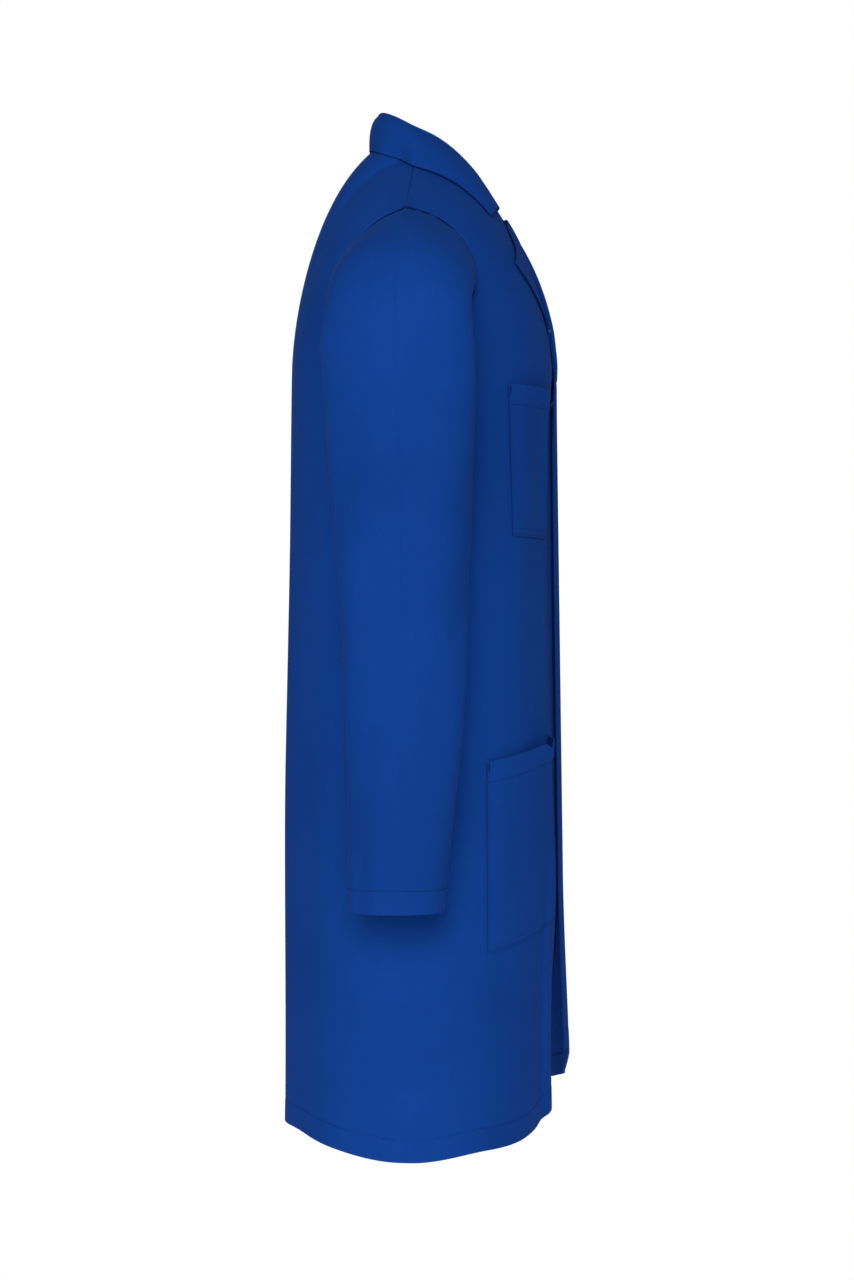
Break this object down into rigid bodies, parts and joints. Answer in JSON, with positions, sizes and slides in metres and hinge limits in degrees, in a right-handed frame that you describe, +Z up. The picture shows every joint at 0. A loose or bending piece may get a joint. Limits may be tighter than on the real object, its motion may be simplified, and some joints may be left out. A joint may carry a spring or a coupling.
{
  "type": "lab coat",
  "caption": "Knee-length long-sleeved work coat with notched collar and lapels, concealed front closure, chest pocket and lower patch pockets, hanging in its worn shape.",
  "frame": {"origin": "middle of the neck base, level with the points where the shoulder seams meet the neck", "axes": "+Z up toward the collar, -Y out of the front, +X toward the wearer's left"},
  "size_m": [0.6502, 0.2905, 1.0323],
  "materials": {
    "coat_cloth": "matt twill, royal blue",
    "fly_cloth": "matt twill, royal blue, inside face",
    "press_stud": "plated steel"
  },
  "bodies": {
    "upper_coat": {"right_back": "coat_cloth", "right_front": "coat_cloth", "right_lapel": "coat_cloth", "right_sleeve_head": "coat_cloth", "left_back": "coat_cloth", "left_front": "coat_cloth", "left_lapel": "coat_cloth", "left_sleeve_head": "coat_cloth", "collar_stand": "coat_cloth", "collar_fall": "coat_cloth", "hang_loop": "coat_cloth", "chest_pocket": "coat_cloth", "left_fly": "fly_cloth", "stud_socket_1": "press_stud", "stud_post_1": "press_stud", "stud_socket_2": "press_stud", "stud_post_2": "press_stud"},
    "left_front_low": {"left_front_skirt": "coat_cloth", "left_lower_pocket": "coat_cloth", "left_fly_skirt": "fly_cloth", "stud_socket_3": "press_stud", "stud_socket_4": "press_stud", "stud_socket_5": "press_stud"},
    "right_front_low": {"right_front_skirt": "coat_cloth", "right_lower_pocket": "coat_cloth", "stud_post_3": "press_stud", "stud_post_4": "press_stud", "stud_post_5": "press_stud"},
    "right_upper_arm": {"right_upper_sleeve": "coat_cloth"},
    "right_forearm": {"right_forearm_sleeve": "coat_cloth"},
    "left_upper_arm": {"left_upper_sleeve": "coat_cloth"},
    "left_forearm": {"left_forearm_sleeve": "coat_cloth"}
  },
  "joints": [
    {"name": "left_front_swing", "type": "hinge", "parent": "upper_coat", "child": "left_front_low", "pos_m": [0.2166, -0.0639, -0.68], "axis": [-0.0465, 0.0061, 0.9989], "range_deg": [0, 40]},
    {"name": "right_front_swing", "type": "hinge", "parent": "upper_coat", "child": "right_front_low", "pos_m": [-0.2166, -0.0639, -0.68], "axis": [-0.0465, -0.0061, -0.9989], "range_deg": [0, 20]},
    {"name": "right_shoulder_swing", "type": "hinge", "parent": "upper_coat", "child": "right_upper_arm", "pos_m": [-0.22, 0.002, -0.134], "axis": [-1, 0, 0], "range_deg": [-25, 70]},
    {"name": "right_elbow_bend", "type": "hinge", "parent": "right_upper_arm", "child": "right_forearm", "pos_m": [-0.275, 0.004, -0.402], "axis": [-1, 0, 0], "range_deg": [0, 85]},
    {"name": "left_shoulder_swing", "type": "hinge", "parent": "upper_coat", "child": "left_upper_arm", "pos_m": [0.22, 0.002, -0.134], "axis": [-1, 0, 0], "range_deg": [-25, 70]},
    {"name": "left_elbow_bend", "type": "hinge", "parent": "left_upper_arm", "child": "left_forearm", "pos_m": [0.275, 0.004, -0.402], "axis": [-1, 0, 0], "range_deg": [0, 85]}
  ],
  "couplings": [
    {"joint": "right_front_swing", "follows": "left_front_swing", "ratio": 0.5}
  ]
}
